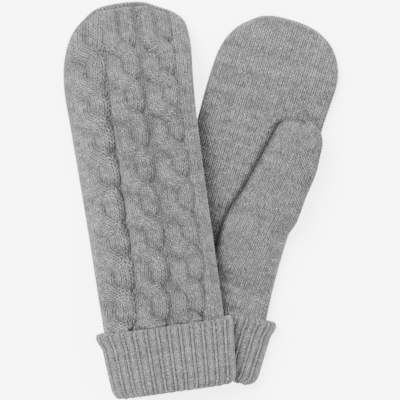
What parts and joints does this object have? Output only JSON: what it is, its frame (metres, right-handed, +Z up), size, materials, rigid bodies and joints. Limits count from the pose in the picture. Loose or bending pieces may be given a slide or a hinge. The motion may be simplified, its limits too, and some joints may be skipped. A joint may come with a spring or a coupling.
{
  "type": "knitted mittens",
  "caption": "Pair of lined knitted mittens, cable-knit backs, plain palms, folded thumbs and turned-up rib cuffs, laid one across the other.",
  "frame": {"origin": "on the table under the middle of the pair's bounding box", "axes": "+Y towards the finger tips, +X towards the right mitten, +Z up"},
  "size_m": [0.1948, 0.2808, 0.0402],
  "materials": {
    "plain_knit": "plain stockinette in heather grey wool-blend yarn",
    "cable_knit": "cable knit in heather grey wool-blend yarn",
    "rib_knit": "ribbed knit in heather grey wool-blend yarn",
    "linking_yarn": "linked seam in the same yarn",
    "fleece_lining": "brushed fleece"
  },
  "bodies": {
    "right_mitten": {"right_palm_panel": "plain_knit", "right_back_panel": "cable_knit", "right_side_seam": "linking_yarn", "right_cuff_seam": "linking_yarn", "right_hand_lining": "fleece_lining", "right_thumb_seam": "linking_yarn", "right_cuff_leg": "rib_knit"},
    "right_thumb": {"right_thumb": "plain_knit", "right_thumb_lining": "fleece_lining"},
    "right_turnup": {"right_cuff_turnup": "rib_knit"},
    "left_mitten": {"left_palm_panel": "plain_knit", "left_back_panel": "cable_knit", "left_side_seam": "linking_yarn", "left_cuff_seam": "linking_yarn", "left_hand_lining": "fleece_lining", "left_thumb_seam": "linking_yarn", "left_cuff_leg": "rib_knit"},
    "left_thumb": {"left_thumb": "plain_knit", "left_thumb_lining": "fleece_lining"},
    "left_turnup": {"left_cuff_turnup": "rib_knit"}
  },
  "joints": [
    {"name": "right_thumb_swing", "type": "hinge", "parent": "right_mitten", "child": "right_thumb", "pos_m": [0.04706, -0.00997, 0.02], "axis": [0, 0, -1], "range_deg": [0, 35]},
    {"name": "right_cuff_turn_down", "type": "slide", "parent": "right_mitten", "child": "right_turnup", "axis": [-0.2672, -0.9636, 0], "range_m": [0, 0.04]},
    {"name": "left_thumb_swing", "type": "hinge", "parent": "left_mitten", "child": "left_thumb", "pos_m": [-0.01761, -0.01272, 0.02], "axis": [0, 0, -1], "range_deg": [0, 35]},
    {"name": "left_cuff_turn_down", "type": "slide", "parent": "left_mitten", "child": "left_turnup", "axis": [0.1392, -0.9903, 0], "range_m": [0, 0.04]},
    {"name": "left_mitten_lift", "type": "slide", "parent": "right_mitten", "child": "left_mitten", "axis": [0, 0, 1], "range_m": [0, 0.15]}
  ]
}
